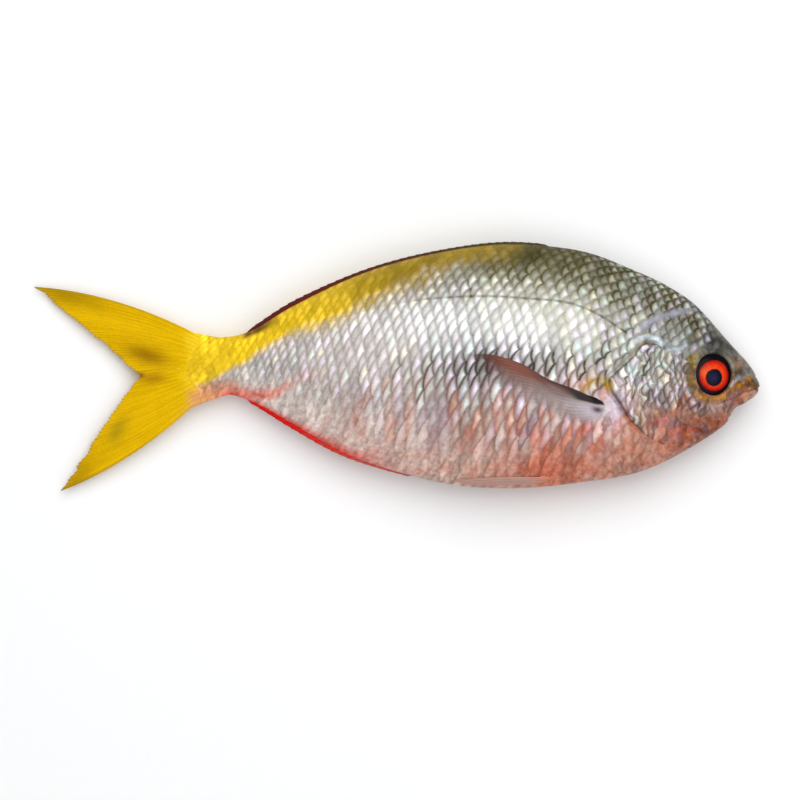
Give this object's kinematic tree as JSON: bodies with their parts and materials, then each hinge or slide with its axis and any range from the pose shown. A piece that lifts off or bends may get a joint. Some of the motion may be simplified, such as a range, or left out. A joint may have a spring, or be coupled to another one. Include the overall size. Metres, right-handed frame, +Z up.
{
  "type": "whole raw fish",
  "caption": "Whole raw reef fish lying on its side: deep oval scaled body, large eye, forked yellow tail and fins folded against the body.",
  "frame": {"origin": "middle of the underside of the bounding box, on the surface that the fish lies on", "axes": "+X towards the snout, +Y towards the back, +Z up out of the right flank"},
  "size_m": [0.2998, 0.103, 0.04],
  "materials": {
    "skin": "wet silver scales, yellow towards the tail and pink on the belly",
    "eye": "wet, with a red ring round a black pupil",
    "tail_fin": "damp yellow membrane over fine rays",
    "dorsal_fin": "damp dark membrane folded along the back",
    "anal_fin": "damp red membrane folded along the belly",
    "paired_fins": "damp pinkish translucent membrane over fine rays"
  },
  "bodies": {
    "root": {"body": "skin", "right_eye": "eye", "left_eye": "eye", "caudal_fin": "tail_fin", "dorsal_fin": "dorsal_fin", "anal_fin": "anal_fin", "right_pectoral_fin": "paired_fins", "left_pectoral_fin": "paired_fins", "right_pelvic_fin": "paired_fins", "left_pelvic_fin": "paired_fins"}
  },
  "joints": []
}
